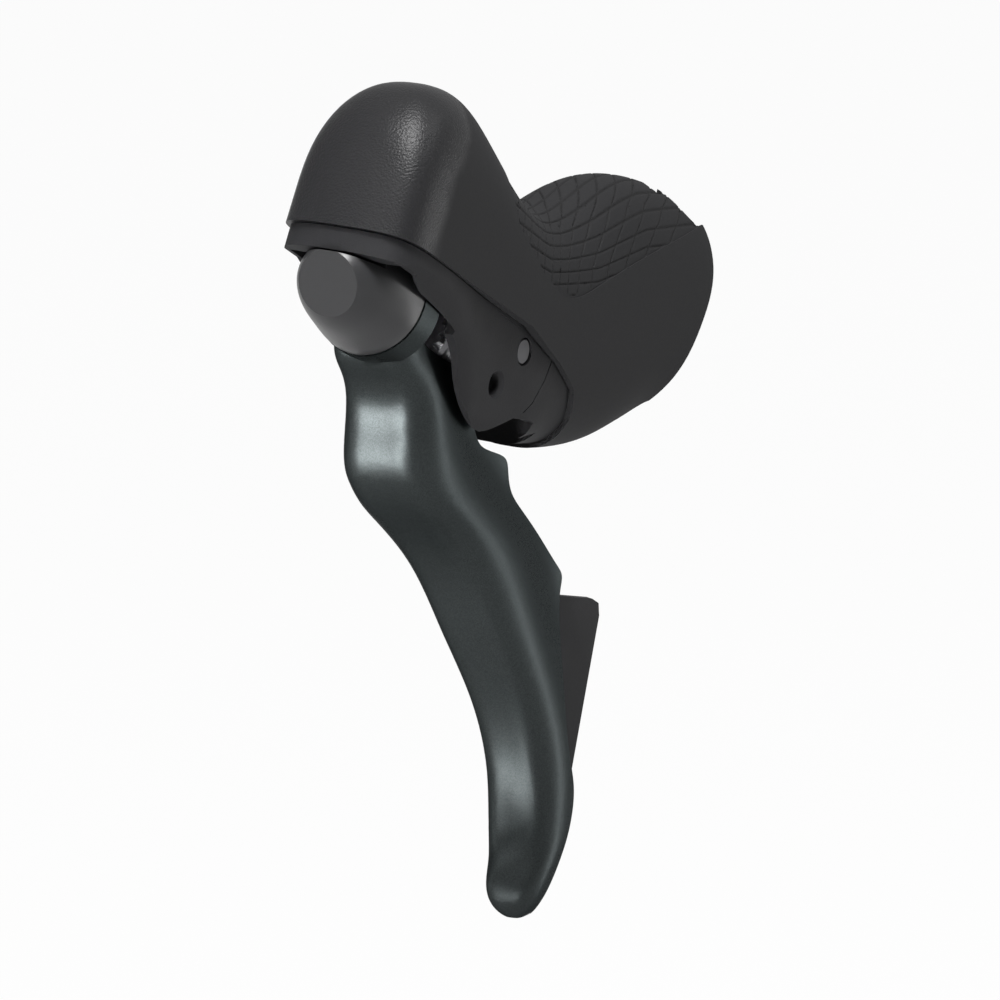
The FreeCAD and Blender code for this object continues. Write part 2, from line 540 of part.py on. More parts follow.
holding_pawl = holding_pawl.cut(on_axle(DRUM_RADIUS + FREE_GAP, ratchet_from - 1, RATCHET_THICK + 2))
pawl_pin_length = ratchet_from + RATCHET_THICK + 0.4 - PAWL_PIN_FROM
pawl_pin = rod(PAWL_PIN_RADIUS, PAWL_SIDE, PAWL_PIN_FROM, PAWL_UP, AHEAD, pawl_pin_length)

# Drive plate: a steel disc notched over the drive pin, with a sleeve that carries the paddle and hub.
drive_plate = on_axle(DRIVE_RADIUS, DRIVE_FROM, DRIVE_THICK)
drive_plate = drive_plate.fuse(on_axle(SLEEVE_RADIUS, DRIVE_FROM, HUB_FROM + HUB_LENGTH - 2.6 - DRIVE_FROM))
drive_plate = drive_plate.cut(on_axle(axle_hole, DRIVE_FROM - 1, 30))
pin_seat = rod(DRIVE_PIN_RADIUS + 0.1, pin_side, DRIVE_FROM - 1, pin_up, AHEAD, DRIVE_THICK + 1)
drive_plate = drive_plate.cut(pin_seat)
drive_plate = drive_plate.removeSplitter()
release_spring = coil(5.75, 0.6, 0.7, 0.6, 0, DRIVE_FROM + DRIVE_THICK + 0.45, -SHIFT_AXIS_BELOW, AHEAD)
shift_spring = coil(6.4, 1.0, 1.15, 1.2, 0, HUB_FROM + HUB_LENGTH - 1.9, -SHIFT_AXIS_BELOW, AHEAD)
axle_nut = hex_prism(9.0, 0, CAP_FROM + 0.3, -SHIFT_AXIS_BELOW, AHEAD, 2.6)
axle_nut = axle_nut.cut(on_axle(AXLE_RADIUS, CAP_FROM, 5))
axle_washer = ring_on_axle(5.2, AXLE_RADIUS + PRESS_FIT, CAP_FROM - 0.5, 0.8)

# Nose cap: a bullet from the round eye to a flat facet, hollow over the axle nut.
def tilted_ring(radius, forward, up, tilt):
    points = []
    for k in range(12):
        angle = 2 * math.pi * k / 12
        rise = radius * math.sin(angle)
        lean = math.radians(tilt)
        points.append(at(radius * math.cos(angle), forward + rise * math.sin(lean), up + rise * math.cos(lean)))
    return closed_curve(points)


cap_rings = [
    tilted_ring(CAP_RADIUS, CAP_FROM, -SHIFT_AXIS_BELOW, 0),
    tilted_ring(CAP_RADIUS - 0.4, CAP_FROM + 5, -SHIFT_AXIS_BELOW - 0.1, FACET_TILT / 4),
    tilted_ring(CAP_RADIUS - 2.0, CAP_FROM + 12, -SHIFT_AXIS_BELOW - 1.2, FACET_TILT * 0.7),
    tilted_ring(FACET_RADIUS + 0.9, FACET_FORWARD - 1.0, -FACET_DROP + 0.2, FACET_TILT),
    tilted_ring(FACET_RADIUS, FACET_FORWARD, -FACET_DROP, FACET_TILT),
]
nose_cap = Part.makeLoft(cap_rings, True)
nose_cap = nose_cap.cut(block(-30, 30, MOUTH_FRONT - 1.2, 90, LIP_EDGE - 0.7, 40))
nose_cap = nose_cap.cut(on_axle(7.6, CAP_FROM - 1, 4.4))
nose_cap = nose_cap.cut(on_axle(AXLE_RADIUS + PRESS_FIT, CAP_FROM - 1, AXLE_TO - CAP_FROM + 1.4))

# Piston, its seals, push rod, stop clip and spring.
piston_to = PISTON_FROM + PISTON_LENGTH
piston = rod(CYLINDER_RADIUS - RUN_FIT, 0, PISTON_FROM, CYLINDER_ABOVE, AHEAD, PISTON_LENGTH)
seal_starts = (PISTON_FROM + 1.6, piston_to - SEAL_WIDTH - 1.4)
seal_inner = CYLINDER_RADIUS - SEAL_DEPTH
seals = []
for start in seal_starts:
    piston = piston.cut(tube(CYLINDER_RADIUS + 1, seal_inner, 0, start, CYLINDER_ABOVE, AHEAD, SEAL_WIDTH))
    ring = tube(CYLINDER_RADIUS - RUN_FIT / 2, seal_inner, 0, start, CYLINDER_ABOVE, AHEAD, SEAL_WIDTH)
    seals.append(ring)
piston = piston.cut(rod(ROD_RADIUS + PRESS_FIT, 0, PISTON_FROM - 1, CYLINDER_ABOVE, AHEAD, 4))
rear_seal, front_seal = seals
rod_from = FINGER_FRONT + FREE_GAP + ROD_RADIUS
push_rod = rod(ROD_RADIUS, 0, rod_from, CYLINDER_ABOVE, AHEAD, PISTON_FROM + 3 - rod_from)
push_rod = push_rod.fuse(Part.makeSphere(ROD_RADIUS, at(0, rod_from, CYLINDER_ABOVE))).removeSplitter()
clip_from = PISTON_FROM - CLIP_THICK - 0.4
stop_clip = tube(CYLINDER_RADIUS - PRESS_FIT, ROD_RADIUS + 0.8, 0, clip_from, CYLINDER_ABOVE, AHEAD, CLIP_THICK)
stop_clip = stop_clip.cut(block(-0.8, 0.8, clip_from - 1, clip_from + 3, CYLINDER_ABOVE - 8, CYLINDER_ABOVE))
spring_room = CYLINDER_TO - piston_to - 1.2
piston_spring = coil(3.6, 0.9, 2.4, spring_room, 0, piston_to + 0.6, CYLINDER_ABOVE, AHEAD)

# Reservoir diaphragm, lid and its four screws, then the bleed screw with its ring.
lid_under = LID_TOP - LID_THICK
room = POCKET_HALF - LID_PLAY
lid_front = POCKET_TO - LID_PLAY
lid_back = POCKET_FROM + LID_PLAY
screw_side = room - LID_SCREW_INSET
diaphragm = block(-room, room, lid_back, lid_front, lid_under - DIAPHRAGM_THICK - 0.9, lid_under)
hollow = block(-room + 1.4, room - 1.4, lid_back + 1.4, lid_front - 1.4, lid_under - 0.9, lid_under)
diaphragm = diaphragm.cut(hollow)
lid = block(-room, room, lid_back, lid_front, lid_under, LID_TOP)
screw_parts = []
shank_from = POCKET_FLOOR - 1.2
for side in (-screw_side, screw_side):
    for forward in (lid_back + LID_SCREW_INSET, lid_front - LID_SCREW_INSET):
        hole = rod(LID_SCREW_RADIUS + PRESS_FIT, side, forward, shank_from - 0.2, UP, 20)
        bracket = bracket.cut(rod(LID_SCREW_RADIUS + PRESS_FIT, side, forward, shank_from - 0.2, UP, 3))
        diaphragm = diaphragm.cut(hole)
        lid = lid.cut(hole)
        shank = rod(LID_SCREW_RADIUS, side, forward, shank_from, UP, LID_TOP - shank_from)
        head = rod(LID_SCREW_HEAD, side, forward, LID_TOP, UP, 0.8)
        slot = block(side - 0.25, side + 0.25, forward - 2, forward + 2, LID_TOP + 0.4, LID_TOP + 2)
        screw_parts.append(shank.fuse(head).cut(slot).removeSplitter())
reservoir_screws = Part.makeCompound(screw_parts)
bleed_screw = rod(BLEED_RADIUS - PRESS_FIT, 0, BLEED_FORWARD, BLEED_SEAT + 0.4, UP, 4.6)
bleed_screw = bleed_screw.fuse(rod(BLEED_RADIUS + 1.5, 0, BLEED_FORWARD, BLEED_SEAT + 6.0, UP, 1.6))
bleed_screw = bleed_screw.fuse(rod(BLEED_RADIUS - 0.4, 0, BLEED_FORWARD, BLEED_SEAT + 5.0, UP, 1.2))
bleed_screw = bleed_screw.cut(hex_prism(2.5, 0, BLEED_FORWARD, BLEED_SEAT + 5.4, UP, 3)).removeSplitter()
bleed_ring = tube(BLEED_RADIUS + 1.0, BLEED_RADIUS - 0.35, 0, BLEED_FORWARD, BLEED_SEAT + 5.0, UP, 1.0)

# Hose nut in its port.
hose_nut = rod(HOSE_NUT_RADIUS, HOSE_SIDE, hose_axis_forward, HOSE_SEAT, UP, HOSE_NUT_LENGTH - 3)
hose_nut = hose_nut.fuse(hex_prism(7.0, HOSE_SIDE, hose_axis_forward, HOSE_SEAT + HOSE_NUT_LENGTH - 3, UP, 3))
hose_hole = rod(HOSE_HOLE_RADIUS, HOSE_SIDE, hose_axis_forward, HOSE_SEAT - 1, UP, 20)
hose_nut = hose_nut.cut(hose_hole).removeSplitter()

# From here pieces stand upright, as the lever hangs on the bicycle.
TIP = FreeCAD.Placement(Vector(), FreeCAD.Rotation(SIDE, -HOOD_PITCH))
pivot = TIP.multVec(at(0, 0, 0))


def tipped(shape):
    turned = shape.copy()
    turned.Placement = TIP.multiply(shape.Placement)
    return turned


def upright(side, rearward, up):
    return pivot + Vector(side, rearward, up)


# One blade section: a rounded channel, closed by a straight line across its open back.
def blade_section(station, wall):
    up, side, half_width, front, outer, inner = station
    half = half_width - wall
    front += wall
    extra = 12.0 if wall else 0.0
    slant = BLADE_SLANT * half
    points = [
        upright(side + half, front + outer + extra, up),
        upright(side + half, front + slant + 0.50 * outer, up),
        upright(side + 0.97 * half, front + slant + 3.0, up),
        upright(side + 0.70 * half, front + 0.6 * slant + 0.7, up),
        upright(side, front, up),
        upright(side - 0.75 * half, front - 0.6 * slant + 0.4, up),
        upright(side - half, front - 0.5 * slant + 3.4, up),
        upright(side - half, front + inner + extra, up),
    ]
    curve = smooth_edge(points)
    return Part.Wire([curve, Part.makeLine(points[-1], points[0])])


def upright_plate(outline, side_from, side_to):
    points = [upright(side_from, rearward, up) for rearward, up in outline]
    face = Part.Face(Part.makePolygon(points + points[:1]))
    return face.extrude(SIDE * (side_to - side_from))


# Blade: a channel hung from a round eye, its outer flange trimmed to the finger recess.
blade = Part.makeLoft([blade_section(station, 0) for station in BLADE], True)
hollow_stations = [station for station in BLADE if station[0] > BLADE_CAVITY_END]
blade = blade.cut(Part.makeLoft([blade_section(station, BLADE_WALL) for station in hollow_stations], True))
trim_points = [upright(-60, rearward, up) for rearward, up in FLANGE_EDGE]
trim_back = [upright(-60, 90, up) for rearward, up in (FLANGE_EDGE[-1], FLANGE_EDGE[0])]
trim_corners = [trim_points[-1]] + trim_back + [trim_points[0]]
trim_curve = Part.BSplineCurve()
trim_curve.buildFromPoles(trim_points, False, 3)
trim_outline = Part.Wire([trim_curve.toShape()] + Part.makePolygon(trim_corners).Edges)
blade = blade.cut(Part.Face(trim_outline).extrude(SIDE * 120))
eye = tipped(on_axle(HUB_RADIUS, HUB_FROM, HUB_LENGTH))
neck_top = tipped(block(-40, 40, -60, 120, -SHIFT_AXIS_BELOW - 0.4, 120))
blade = blade.cut(neck_top)
blade = blade.cut(tipped(block(-40, 40, HUB_FROM + HUB_LENGTH, 120, -60, 60)))
blade = blade.cut(tipped(on_axle(DRUM_RADIUS + 0.6, HUB_FROM - 40, 40)))
blade = blade.fuse(eye)
blade = blade.cut(tipped(on_axle(SLEEVE_RADIUS + PRESS_FIT, HUB_FROM - 1, 12)))
blade = blade.cut(tipped(on_axle(7.6, HUB_FROM + HUB_LENGTH - 2.6, 12))).removeSplitter()

# Paddle: a steel plate on the sleeve, an arm down the channel, and the pad riveted to it.
paddle_arm = tipped(on_axle(PADDLE_PLATE_RADIUS, PADDLE_PLATE_FROM, PADDLE_PLATE_THICK))
left = []
right = []
for k, (rearward, up) in enumerate(ARM):
    before = ARM[max(k - 1, 0)]
    after = ARM[min(k + 1, len(ARM) - 1)]
    run = Vector(after[0] - before[0], after[1] - before[1], 0).normalize()
    left.append((rearward - run.y * ARM_WIDTH / 2, up + run.x * ARM_WIDTH / 2))
    right.append((rearward + run.y * ARM_WIDTH / 2, up - run.x * ARM_WIDTH / 2))
strip = upright_plate(left + right[::-1], ARM_SIDE - ARM_THICK / 2, ARM_SIDE + ARM_THICK / 2)
strip = strip.cut(tipped(on_axle(DRUM_RADIUS + 0.6, PADDLE_PLATE_FROM - 40, 40)))
strip = strip.cut(tipped(block(-40, 40, PADDLE_PLATE_FROM + PADDLE_PLATE_THICK, 120, -60, 60)))
paddle_arm = paddle_arm.fuse(strip)
paddle_arm = paddle_arm.cut(tipped(on_axle(SLEEVE_RADIUS + RUN_FIT, PADDLE_PLATE_FROM - 1, 5))).removeSplitter()
pad_side = ARM_SIDE + ARM_THICK / 2 + PRESS_FIT
release_pad = upright_plate(PAD, pad_side, pad_side + PAD_THICK)
release_pad.rotate(upright(pad_side, PAD_ROOT, 0), UP, -PAD_FLARE)
release_pad = release_pad.fuse(upright_plate(PAD_BOSS, pad_side, pad_side + 2 * PAD_THICK))
release_pad = release_pad.removeSplitter()

rivet_parts = []
grip_thick = ARM_THICK + 2 * PAD_THICK + 2 * PRESS_FIT
for rearward, up in RIVETS:
    start = upright(ARM_SIDE - ARM_THICK / 2 - RIVET_HEAD, rearward, up)
    far_head = start + SIDE * (RIVET_HEAD + grip_thick)
    hole = Part.makeCylinder(RIVET_RADIUS + PRESS_FIT, 20, start, SIDE)
    head_room = Part.makeCylinder(RIVET_HEAD_RADIUS + PRESS_FIT, 20, far_head - SIDE * PRESS_FIT, SIDE)
    paddle_arm = paddle_arm.cut(hole)
    release_pad = release_pad.cut(hole).cut(head_room)
    rivet = Part.makeCylinder(RIVET_RADIUS, grip_thick + 2 * RIVET_HEAD, start, SIDE)
    for head in (start, far_head):
        rivet = rivet.fuse(Part.makeCylinder(RIVET_HEAD_RADIUS, RIVET_HEAD, head, SIDE))
    rivet_parts.append(rivet.removeSplitter())
pad_rivets = Part.makeCompound(rivet_parts)

pieces = {
    "hood": hood,
    "bracket_body": bracket,
    "clamp_band": clamp_band,
    "clamp_nut": clamp_nut,
    "clamp_bolt": clamp_bolt,
    "pivot_pin": pivot_pin,
    "stop_clip": stop_clip,
    "piston_spring": piston_spring,
    "reservoir_diaphragm": diaphragm,
    "reservoir_lid": lid,
    "reservoir_screws": reservoir_screws,
    "bleed_screw": bleed_screw,
    "bleed_ring": bleed_ring,
    "hose_nut": hose_nut,
    "piston": piston,
    "rear_seal": rear_seal,
    "front_seal": front_seal,
    "push_rod": push_rod,
    "lever_carrier": carrier,
    "pivot_bushes": pivot_bushes,
    "lever_spring": lever_spring,
    "reach_screw": reach_screw,
    "shift_axle": shift_axle,
    "axle_nut": axle_nut,
    "nose_cap": nose_cap,
    "pawl_pin": pawl_pin,
    "holding_pawl": holding_pawl,
    "cable_drum": cable_drum,
    "ratchet_wheel": ratchet_wheel,
    "drive_pin": drive_pin,
    "drum_spring": drum_spring,
    "drive_plate": drive_plate,
    "shift_spring": shift_spring,
    "axle_washer": axle_washer,
    "release_spring": release_spring,
}
standing = {"blade": blade, "paddle_arm": paddle_arm, "release_pad": release_pad, "pad_rivets": pad_rivets}

os.makedirs("parts", exist_ok=True)
for name, shape in pieces.items():
    tipped(shape).exportStep("parts/" + name + ".step")
for name, shape in standing.items():
    shape.exportStep("parts/" + name + ".step")
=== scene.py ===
import bmesh
import bpy
import math
import numpy as np
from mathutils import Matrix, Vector
from mathutils.bvhtree import BVHTree


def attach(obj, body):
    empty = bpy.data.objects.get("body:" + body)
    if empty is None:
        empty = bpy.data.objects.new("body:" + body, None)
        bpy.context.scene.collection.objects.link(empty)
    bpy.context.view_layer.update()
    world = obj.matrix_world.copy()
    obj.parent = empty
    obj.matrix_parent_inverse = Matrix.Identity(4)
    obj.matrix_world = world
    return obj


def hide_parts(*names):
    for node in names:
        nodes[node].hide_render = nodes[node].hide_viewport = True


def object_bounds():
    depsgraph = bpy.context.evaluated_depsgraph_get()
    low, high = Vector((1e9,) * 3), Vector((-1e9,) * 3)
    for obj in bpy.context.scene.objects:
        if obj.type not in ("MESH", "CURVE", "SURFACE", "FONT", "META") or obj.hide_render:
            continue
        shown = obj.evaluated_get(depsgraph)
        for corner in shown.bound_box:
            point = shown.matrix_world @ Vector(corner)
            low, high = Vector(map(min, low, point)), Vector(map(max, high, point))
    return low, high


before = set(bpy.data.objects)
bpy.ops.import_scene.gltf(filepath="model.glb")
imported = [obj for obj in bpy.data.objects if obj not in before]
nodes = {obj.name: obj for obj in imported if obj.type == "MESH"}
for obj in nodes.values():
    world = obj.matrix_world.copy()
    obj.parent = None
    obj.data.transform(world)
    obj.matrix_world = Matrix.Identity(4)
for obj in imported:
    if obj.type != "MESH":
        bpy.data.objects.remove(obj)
cad_box = [list(corner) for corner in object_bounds()]


# Bracket: one moulding of glass-filled nylon that carries everything else. Its lip and ears stay
# bare below the rubber, with the fine sparked texture of the mould and a slight gloss.
def clean_copy(node):
    source = nodes[node].data
    same_point = 2e-6
    mesh = bpy.data.meshes.new(node + "_skin")
    faces = [list(face.vertices) for face in source.polygons]
    mesh.from_pydata([vertex.co.copy() for vertex in source.vertices], [], faces)
    skin = bmesh.new()
    skin.from_mesh(mesh)
    bmesh.ops.remove_doubles(skin, verts=skin.verts, dist=same_point)
    skin.to_mesh(mesh)
    skin.free()
    piece = bpy.data.objects.new(node + "_skin", mesh)
    bpy.context.scene.collection.objects.link(piece)
    return piece


def shade_smooth(piece, sharp_degrees):
    shell = bmesh.new()
    shell.from_mesh(piece.data)
    for face in shell.faces:
        face.smooth = True
    for edge in shell.edges:
        edge.smooth = edge.calc_face_angle(0.0) < math.radians(sharp_degrees)
    shell.to_mesh(piece.data)
    shell.free()


def stand_for(piece, node, body):
    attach(piece, body)
    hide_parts(node)


def skin_of(node, body, material):
    piece = clean_copy(node)
    shade_smooth(piece, sharp_degrees=28)
    piece.data.materials.append(material)
    stand_for(piece, node, body)


def new_finish(name, metallic=0.0, specular=0.5):
    material = bpy.data.materials.new(name)
    material.use_nodes = True
    shader = material.node_tree.nodes["Principled BSDF"]
    shader.inputs["Metallic"].default_value = metallic
    shader.inputs["Specular IOR Level"].default_value = specular
    return material


# Adds a node to a tree. A setting is one of the node's own values, or else one of its inputs.
def place(tree, kind, **settings):
    node = tree.nodes.new(kind)
    for name, value in settings.items():
        if hasattr(node, name):
            setattr(node, name, value)
        else:
            node.inputs[name].default_value = value
    return node


def new_group(name, inputs):
    group = bpy.data.node_groups.new(name, "ShaderNodeTree")
    for socket, value in inputs.items():
        kind = "NodeSocketVector" if isinstance(value, tuple) else "NodeSocketFloat"
        made = group.interface.new_socket(socket, in_out="INPUT", socket_type=kind)
        made.default_value = value
    for socket in ("Height", "Tone", "Polish"):
        group.interface.new_socket(socket, in_out="OUTPUT", socket_type="NodeSocketFloat")
    return group, place(group, "NodeGroupInput"), place(group, "NodeGroupOutput")


# A map range that sends 0 to 1 onto the two values given.
def spread_between(tree, lowest, highest):
    spread = place(tree, "ShaderNodeMapRange")
    spread.inputs["To Min"].default_value = lowest
    spread.inputs["To Max"].default_value = highest
    return spread


# A colour mix from one tone to the other.
def tone_between(tree, first, second):
    tones = place(tree, "ShaderNodeMix", data_type="RGBA")
    tones.inputs["A"].default_value = (*first, 1.0)
    tones.inputs["B"].default_value = (*second, 1.0)
    return tones


# Moulded grain, shared by the plastic, rubber and cast pieces: small pebbles on a softer unevenness.
moulded_grain, grain_in, grain_out = new_group("moulded_grain", {"Pebble": 1500.0, "Unevenness": 120.0})
seat = place(moulded_grain, "ShaderNodeTexCoord")
pebbles = place(moulded_grain, "ShaderNodeTexVoronoi", feature="SMOOTH_F1", Smoothness=0.6)
fine = place(moulded_grain, "ShaderNodeTexNoise", Detail=4.0, Roughness=0.6)
broad = place(moulded_grain, "ShaderNodeTexNoise", Detail=3.0, Roughness=0.5)
raised = place(moulded_grain, "ShaderNodeMath", operation="SUBTRACT")
for texture, size in ((pebbles, "Pebble"), (fine, "Pebble"), (broad, "Unevenness")):
    moulded_grain.links.new(seat.outputs["Object"], texture.inputs["Vector"])
    moulded_grain.links.new(grain_in.outputs[size], texture.inputs["Scale"])
moulded_grain.links.new(fine.outputs["Fac"], raised.inputs[0])
moulded_grain.links.new(pebbles.outputs["Distance"], raised.inputs[1])
moulded_grain.links.new(raised.outputs[0], grain_out.inputs["Height"])
moulded_grain.links.new(fine.outputs["Fac"], grain_out.inputs["Tone"])
moulded_grain.links.new(broad.outputs["Fac"], grain_out.inputs["Polish"])


# Gives a finish its texture: colour between two tones, a range of roughness, and bump.
def textured(material, group, values, tones, polish, depth, strength):
    tree = material.node_tree
    shader = tree.nodes["Principled BSDF"]
    texture = place(tree, "ShaderNodeGroup")
    texture.node_tree = group
    for name, value in values.items():
        texture.inputs[name].default_value = value
    shade = tone_between(tree, *tones)
    gloss = spread_between(tree, *polish)
    bump = place(tree, "ShaderNodeBump", Strength=strength, Distance=depth)
    tree.links.new(texture.outputs["Tone"], shade.inputs["Factor"])
    tree.links.new(texture.outputs["Polish"], gloss.inputs["Value"])
    tree.links.new(texture.outputs["Height"], bump.inputs["Height"])
    tree.links.new(shade.outputs["Result"], shader.inputs["Base Color"])
    tree.links.new(gloss.outputs["Result"], shader.inputs["Roughness"])
    tree.links.new(bump.outputs["Normal"], shader.inputs["Normal"])
    return texture, shade, gloss, bump


# A moulded finish: its pebbles per metre, two tones, range of roughness, and the grain's bump.
def moulded(name, pebble, tones, polish, depth, strength, **finish):
    material = new_finish(name, **finish)
    textured(material, moulded_grain, {"Pebble": pebble}, tones, polish, depth, strength)
    return material


nylon = moulded("bracket_nylon", 2600.0, ((0.012, 0.012, 0.013), (0.018, 0.018, 0.019)),
                polish=(0.55, 0.68), depth=0.00005, strength=0.35, specular=0.07)
skin_of("bracket_body", "bracket", nylon)


# Brake cylinder: a grey acetal piston with two rubber lip seals, a steel push rod and coil spring,
# kept in the bore by a spring-steel clip.
def dress(material, *names):
    for name in names:
        nodes[name].data.materials.clear()
        nodes[name].data.materials.append(material)


# Turned metal, shared by steel and brass: fine rings across an axis and a soft sheen.
turned_metal, turn_in, turn_out = new_group("turned_metal", {"Axis": (1.0, 0.0, 0.0), "Fineness": 4000.0})
spot = place(turned_metal, "ShaderNodeTexCoord")
along_axis = place(turned_metal, "ShaderNodeVectorMath", operation="DOT_PRODUCT")
ring_count = place(turned_metal, "ShaderNodeMath", operation="MULTIPLY")
rings = place(turned_metal, "ShaderNodeTexNoise", noise_dimensions="1D", Scale=1.0, Detail=3.0)
sheen = place(turned_metal, "ShaderNodeTexNoise", Scale=180.0, Detail=2.0)
turned_metal.links.new(spot.outputs["Object"], along_axis.inputs[0])
turned_metal.links.new(turn_in.outputs["Axis"], along_axis.inputs[1])
turned_metal.links.new(along_axis.outputs["Value"], ring_count.inputs[0])
turned_metal.links.new(turn_in.outputs["Fineness"], ring_count.inputs[1])
turned_metal.links.new(ring_count.outputs[0], rings.inputs["W"])
turned_metal.links.new(spot.outputs["Object"], sheen.inputs["Vector"])
turned_metal.links.new(rings.outputs["Fac"], turn_out.inputs["Height"])
turned_metal.links.new(rings.outputs["Fac"], turn_out.inputs["Tone"])
turned_metal.links.new(sheen.outputs["Fac"], turn_out.inputs["Polish"])
tilt = math.radians(32.0)
ahead = (0.0, -math.cos(tilt), math.sin(tilt))
bar_up = (0.0, math.sin(tilt), math.cos(tilt))
across = (1.0, 0.0, 0.0)


def metal(name, axis, tones, polish):
    material = new_finish(name, metallic=1.0)
    textured(material, turned_metal, {"Axis": axis}, tones, polish, depth=0.00003, strength=0.15)
    return material


steel_tones = ((0.42, 0.42, 0.43), (0.60, 0.60, 0.61))
axle_steel = metal("axle_steel", ahead, steel_tones, (0.24, 0.36))
seal_rubber = moulded("seal_rubber", 3200.0, ((0.012, 0.012, 0.012), (0.02, 0.02, 0.02)),
                      polish=(0.4, 0.55), depth=0.00003, strength=0.3, specular=0.3)
acetal = moulded("grey_acetal", 2200.0, ((0.17, 0.17, 0.18), (0.22, 0.22, 0.23)),
                 polish=(0.34, 0.46), depth=0.00003, strength=0.25)
dress(acetal, "piston")
dress(seal_rubber, "rear_seal", "front_seal")
dress(axle_steel, "push_rod", "piston_spring", "stop_clip")

# Reservoir in the head: a moulded rubber diaphragm lies under a nylon lid. Four small steel screws
# hold the lid down on the bracket.
upright_steel = metal("upright_steel", bar_up, steel_tones, (0.26, 0.38))
dress(seal_rubber, "reservoir_diaphragm")
dress(nylon, "reservoir_lid")
dress(upright_steel, "reservoir_screws")

# Ports: a turned brass nut holds the hose, and a steel bleed screw with a rubber ring closes the
# head. Both are threaded into the bracket.
hose_brass = metal("hose_brass", bar_up, ((0.52, 0.36, 0.14), (0.68, 0.50, 0.22)), (0.25, 0.38))
dress(hose_brass, "hose_nut")
dress(upright_steel, "bleed_screw")
dress(seal_rubber, "bleed_ring")

# Handlebar clamp: a rolled steel band hooked on a cross nut, drawn tight by a black steel bolt that
# is reached from the front under the rubber.
cross_steel = metal("cross_steel", across, ((0.30, 0.30, 0.31), (0.42, 0.42, 0.43)), (0.30, 0.42))
black_steel = metal("black_steel", ahead, ((0.05, 0.05, 0.055), (0.09, 0.09, 0.095)), (0.34, 0.46))
dress(upright_steel, "clamp_band")
dress(cross_steel, "clamp_nut")
dress(black_steel, "clamp_bolt")

# Lever carrier: cast aluminium turning on a steel pin in two brass bushes, with a torsion spring
# and a small screw that sets the reach. The pin is blackened and pressed into the bracket's ears.
cast_metal = moulded("cast_aluminium", 1800.0, ((0.20, 0.20, 0.21), (0.30, 0.30, 0.31)),
                     polish=(0.42, 0.58), depth=0.00008, strength=0.4, metallic=0.9)
bush_brass = metal("bush_brass", across, ((0.50, 0.35, 0.14), (0.64, 0.47, 0.20)), (0.28, 0.40))
pin_steel = metal("pin_steel", across, ((0.032, 0.032, 0.034), (0.05, 0.05, 0.052)), (0.4, 0.52))
dress(cast_metal, "lever_carrier")
dress(bush_brass, "pivot_bushes")
dress(upright_steel, "reach_screw", "lever_spring")
skin_of("pivot_pin", "bracket", pin_steel)

# Shift unit: an acetal cable drum, a stamped ratchet wheel, a pawl and a drive plate, stacked with
# their springs on one steel axle and closed by a nut and washer.
dress(acetal, "cable_drum")
dress(axle_steel, "shift_axle", "axle_nut", "axle_washer", "ratchet_wheel", "holding_pawl", "pawl_pin")
dress(axle_steel, "drive_pin", "drive_plate", "drum_spring", "shift_spring", "release_spring")

# Release paddle: a stamped steel arm that turns on the axle behind the blade. Its charcoal pad is
# moulded nylon, joined to the arm by two rivets.
pad_nylon = moulded("pad_nylon", 2600.0, ((0.014, 0.014, 0.015), (0.021, 0.021, 0.022)),
                    polish=(0.6, 0.7), depth=0.00004, strength=0.3, specular=0.12)
dress(cross_steel, "paddle_arm", "pad_rivets")
skin_of("release_pad", "release_paddle", pad_nylon)

# Blade: forged aluminium channel under a satin grey-green metallic paint. It hangs from a round
# eye on the drive plate's sleeve.
paint = new_finish("blade_paint", metallic=0.9)
tree = paint.node_tree
shader = tree.nodes["Principled BSDF"]
shader.inputs["Specular Tint"].default_value = (0.35, 0.35, 0.35, 1.0)
seat = place(tree, "ShaderNodeTexCoord")
flakes = place(tree, "ShaderNodeTexVoronoi", Scale=9000.0)
flake_light = place(tree, "ShaderNodeSeparateColor")
peel = place(tree, "ShaderNodeTexNoise", Scale=900.0, Detail=2.0)
drift = place(tree, "ShaderNodeTexNoise", Scale=45.0, Detail=2.0)
for texture in (flakes, peel, drift):
    tree.links.new(seat.outputs["Object"], texture.inputs["Vector"])
tint = tone_between(tree, (0.0225, 0.0258, 0.0262), (0.043, 0.049, 0.0497))
gloss = spread_between(tree, 0.35, 0.42)
ripple = place(tree, "ShaderNodeBump", Strength=0.05, Distance=0.00005)
tree.links.new(flakes.outputs["Color"], flake_light.inputs["Color"])
tree.links.new(flake_light.outputs["Red"], tint.inputs["Factor"])
tree.links.new(tint.outputs["Result"], shader.inputs["Base Color"])
tree.links.new(drift.outputs["Fac"], gloss.inputs["Value"])
tree.links.new(gloss.outputs["Result"], shader.inputs["Roughness"])
tree.links.new(peel.outputs["Fac"], ripple.inputs["Height"])
tree.links.new(ripple.outputs["Normal"], shader.inputs["Normal"])
skin_of("blade", "main_lever", paint)

# Nose cap: satin black plastic moulding with a flat round facet at the front. It is pressed over
# the axle nut and hides the shift unit's end.
cap_plastic = moulded("cap_plastic", 4200.0, ((0.015, 0.015, 0.016), (0.021, 0.021, 0.022)),
                      polish=(0.30, 0.40), depth=0.00002, strength=0.25, specular=0.25)
skin_of("nose_cap", "carrier", cap_plastic)

# Hood: black rubber stretched over the bracket and its tall head. The head is grained like
# leather, and the saddle behind it has a sunken field of pads between two families of grooves.
pivot_forward = 0.064
pivot_down = 0.030


